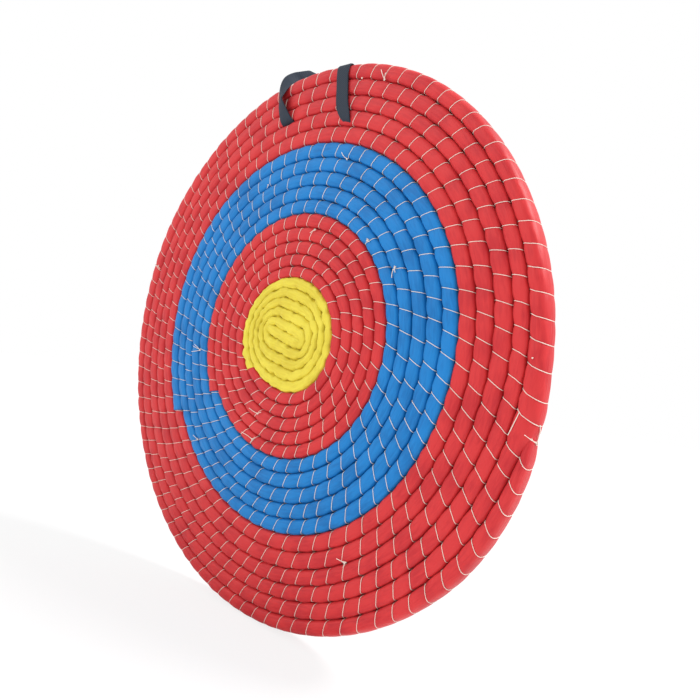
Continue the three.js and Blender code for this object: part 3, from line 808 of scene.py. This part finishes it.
def webbing_loop(name, edges):
    """Closed band of webbing. Each row of edges has the places of its left and its right edge, as
    x, y and z in millimetres."""
    count = loop_stations
    course, length = smooth_course([(*(np.add(row[:3], row[3:]) / 2), *row) for row in edges], count)
    middle, left, right = (course[:, k:k + 3] / 1000 for k in (0, 3, 6))
    ahead = np.roll(middle, -1, 0) - np.roll(middle, 1, 0)
    ahead /= np.linalg.norm(ahead, axis=1)[:, None]
    width = right - left
    half_width = np.linalg.norm(width, axis=1) / 2
    normal = np.cross(width, ahead)
    normal /= np.linalg.norm(normal, axis=1)[:, None]
    width /= 2 * half_width[:, None]
    across = np.array(over_width + over_width[-2:0:-1])
    thick = np.array(over_thickness + [-share for share in over_thickness[-2:0:-1]])
    ring = (middle[:, None] + across[None, :, None] * (half_width[:, None] * width)[:, None]
            + thick[None, :, None] * webbing_half_thickness * normal[:, None])
    size = len(across)
    i, k = np.meshgrid(np.arange(count), np.arange(size), indexing="ij")
    near, far = i * size, (i + 1) % count * size
    following = (k + 1) % size
    faces = np.stack([near + k, near + following, far + following, far + k], -1).reshape(-1, 4)
    mesh = bpy.data.meshes.new(name)
    mesh.from_pydata(ring.reshape(-1, 3).tolist(), [], faces.tolist())
    mesh.polygons.foreach_set("use_smooth", np.ones(len(mesh.polygons), bool))
    uv = mesh.uv_layers.new(name="webbing")
    edge = np.append(across, across[0]) * webbing_half_width
    u = np.stack([i, i, i + 1, i + 1], -1).reshape(-1) * (length / 1000 / count)
    v = np.stack([edge[k], edge[k + 1], edge[k + 1], edge[k]], -1).reshape(-1)
    uv.data.foreach_set("uv", np.stack([u, v], -1).astype(np.float32).ravel())
    piece = bpy.data.objects.new(name, mesh)
    scene.collection.objects.link(piece)
    return piece


left_edges = [
    (-41.6, -10.0, 198.4, -27.4, -10.0, 201.6),
    (-41.6, -17.5, 198.6, -27.4, -17.5, 201.8),
    (-42.0, -21.4, 201.0, -28.0, -21.9, 203.6),
    (-45.0, -21.6, 207.5, -32.0, -25.0, 210.5),
    (-48.6, -20.8, 216.5, -36.6, -28.8, 219.5),
    (-49.4, -20.8, 224.0, -36.8, -29.4, 222.2),
    (-50.4, -21.6, 234.5, -37.6, -26.4, 226.8),
    (-51.0, -20.0, 243.5, -39.2, -21.2, 234.2),
    (-49.8, -16.8, 250.4, -38.4, -15.2, 240.4),
    (-47.4, -10.5, 256.2, -37.0, -5.5, 244.3),
    (-43.6, -6.0, 258.6, -33.5, -1.5, 247.5),
    (-40.8, -1.5, 260.8, -30.0, 1.5, 250.5),
    (-39.4, 3.2, 262.6, -26.2, 3.0, 255.4),
    (-38.6, 6.8, 259.5, -25.0, 6.8, 253.0),
    (-39.6, 8.4, 250.5, -25.6, 8.4, 246.0),
    (-42.6, 7.0, 236.0, -28.0, 7.0, 233.5),
    (-43.0, 4.8, 220.0, -28.4, 4.8, 219.0),
    (-42.0, 2.4, 205.0, -27.6, 2.4, 207.5),
    (-41.6, -2.6, 198.8, -27.4, -2.6, 202.0),
]
left_hanging_loop = webbing_loop("left_hanging_loop", left_edges)
webbing = bpy.data.materials.new("slate webbing")
webbing.use_nodes = True
nodes, links = webbing.node_tree.nodes, webbing.node_tree.links
shader = nodes["Principled BSDF"]
shader.inputs["Roughness"].default_value = 0.7
shader.inputs["Specular IOR Level"].default_value = 0.3
uv_node = nodes.new("ShaderNodeUVMap")
uv_node.uv_map = "webbing"
crossing = nodes.new("ShaderNodeMath")
crossing.operation = "MULTIPLY"
twill_scale = 230.0
for way, lean_degrees in enumerate((45, -45)):
    lean = nodes.new("ShaderNodeMapping")
    lean.inputs["Rotation"].default_value = (0, 0, math.radians(lean_degrees))
    links.new(uv_node.outputs["UV"], lean.inputs["Vector"])
    twill = nodes.new("ShaderNodeTexWave")
    twill.inputs["Scale"].default_value = twill_scale
    twill.inputs["Distortion"].default_value = 0.3
    links.new(lean.outputs["Vector"], twill.inputs["Vector"])
    links.new(twill.outputs["Fac"], crossing.inputs[way])
yarns = nodes.new("ShaderNodeValToRGB")
yarns.color_ramp.elements[0].color = (0.012, 0.018, 0.029, 1)
yarns.color_ramp.elements[1].color = (0.030, 0.042, 0.064, 1)
yarns.color_ramp.elements[1].position = 0.5
links.new(crossing.outputs["Value"], yarns.inputs["Fac"])
links.new(yarns.outputs["Color"], shader.inputs["Base Color"])
yarn_bump = nodes.new("ShaderNodeBump")
yarn_bump.inputs["Strength"].default_value = 0.5
yarn_bump.inputs["Distance"].default_value = 0.0002
links.new(crossing.outputs["Value"], yarn_bump.inputs["Height"])
links.new(yarn_bump.outputs["Normal"], shader.inputs["Normal"])
left_hanging_loop.data.materials.append(webbing)
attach(left_hanging_loop, "left_loop")
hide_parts("strap_left")

# Right hanging loop
# The same webbing, passed through the groove inside the fourth turn, so that it only just
# reaches over the rim. Its front leg lies flat on the face.
right_edges = [
    (38.5, -10.0, 188.8, 46.4, -10.0, 187.2),
    (38.5, -17.0, 189.0, 46.4, -17.0, 187.4),
    (36.6, -20.4, 191.0, 46.4, -20.6, 189.4),
    (32.6, -21.6, 196.2, 45.6, -21.8, 196.0),
    (29.0, -21.7, 203.6, 43.0, -21.8, 203.6),
    (27.4, -21.6, 210.5, 41.3, -21.7, 210.5),
    (26.1, -21.5, 220.0, 39.6, -21.6, 221.0),
    (24.4, -21.4, 231.0, 37.8, -21.5, 231.6),
    (23.6, -20.9, 238.2, 37.5, -20.9, 237.4),
    (23.4, -19.4, 241.2, 37.4, -19.4, 240.8),
    (23.6, -16.0, 243.2, 36.8, -16.0, 242.6),
    (22.8, -9.4, 244.2, 35.6, -9.4, 243.2),
    (22.6, -3.4, 245.4, 35.8, -3.4, 244.6),
    (23.0, 3.4, 244.4, 36.4, 3.4, 243.4),
    (23.8, 7.2, 240.0, 37.6, 7.2, 239.0),
    (25.0, 7.4, 234.0, 39.0, 7.4, 232.6),
    (29.0, 6.0, 218.0, 43.0, 6.0, 216.4),
    (33.6, 3.4, 200.0, 46.6, 3.4, 198.2),
    (37.2, 1.2, 191.0, 47.0, 1.2, 189.2),
    (38.4, -3.0, 188.6, 46.6, -3.0, 187.0),
]
right_hanging_loop = webbing_loop("right_hanging_loop", right_edges)
right_hanging_loop.data.materials.append(webbing)
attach(right_hanging_loop, "right_loop")
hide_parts("strap_right")

# Floor and light
# A pale floor and a white backdrop. The light is soft and comes from all round, with a little
# more of it from the upper left, and some from behind on the right that catches the rim.
floor_height = -0.2527
floor_reach = 4
floor_white_share = 0.80
floor_corners = [(x * floor_reach, y * floor_reach, floor_height)
                 for x, y in ((-1, -1), (1, -1), (1, 1), (-1, 1))]
floor_mesh = bpy.data.meshes.new("floor")
floor_mesh.from_pydata(floor_corners, [], [(0, 1, 2, 3)])
floor = bpy.data.objects.new("floor", floor_mesh)
scene.collection.objects.link(floor)
floor_finish = bpy.data.materials.new("pale floor")
floor_finish.use_nodes = True
nodes, links = floor_finish.node_tree.nodes, floor_finish.node_tree.links
shader = nodes["Principled BSDF"]
shader.inputs["Base Color"].default_value = (0.86, 0.86, 0.86, 1)
shader.inputs["Roughness"].default_value = 0.9
rays = nodes.new("ShaderNodeLightPath")
seen = nodes.new("ShaderNodeMath")
seen.operation = "MULTIPLY"
seen.inputs[1].default_value = floor_white_share
white = nodes.new("ShaderNodeEmission")
blend = nodes.new("ShaderNodeMixShader")
output = nodes["Material Output"]
links.new(rays.outputs["Is Camera Ray"], seen.inputs[0])
links.new(seen.outputs["Value"], blend.inputs["Fac"])
links.new(shader.outputs["BSDF"], blend.inputs[1])
links.new(white.outputs["Emission"], blend.inputs[2])
links.new(blend.outputs["Shader"], output.inputs["Surface"])
floor.data.materials.append(floor_finish)


def soft_sun(name, toward, softness, strength):
    """Light that falls the way that toward points, as from a patch of sky softness degrees wide."""
    lamp_data = bpy.data.lights.new(name, "SUN")
    lamp_data.angle = math.radians(softness)
    lamp_data.energy = strength
    lamp = bpy.data.objects.new(name, lamp_data)
    scene.collection.objects.link(lamp)
    lamp.rotation_euler = Vector(toward).to_track_quat("-Z", "Y").to_euler()


soft_sun("key light", (0.5, 0.85, -0.55), 40, 0.85)
soft_sun("rim light", (-0.62, -0.32, -0.80), 16, 3.2)
world = bpy.data.worlds.new("white room")
scene.world = world
world.use_nodes = True
nodes, links = world.node_tree.nodes, world.node_tree.links
room = nodes["Background"]
room.inputs["Color"].default_value = (1, 1, 1, 1)
room.inputs["Strength"].default_value = 0.76
backdrop = nodes.new("ShaderNodeBackground")
backdrop.inputs["Color"].default_value = (1, 1, 1, 1)
backdrop.inputs["Strength"].default_value = 1.0
rays = nodes.new("ShaderNodeLightPath")
either = nodes.new("ShaderNodeMath")
either.operation = "MAXIMUM"
any_view = nodes.new("ShaderNodeMath")
any_view.operation = "MAXIMUM"
links.new(rays.outputs["Is Camera Ray"], either.inputs[0])
links.new(rays.outputs["Is Glossy Ray"], either.inputs[1])
links.new(either.outputs["Value"], any_view.inputs[0])
links.new(rays.outputs["Is Transmission Ray"], any_view.inputs[1])
choose = nodes.new("ShaderNodeMixShader")
links.new(any_view.outputs["Value"], choose.inputs["Fac"])
links.new(room.outputs["Background"], choose.inputs[1])
links.new(backdrop.outputs["Background"], choose.inputs[2])
links.new(choose.outputs["Shader"], nodes["World Output"].inputs["Surface"])
scene.view_settings.view_transform = "Standard"
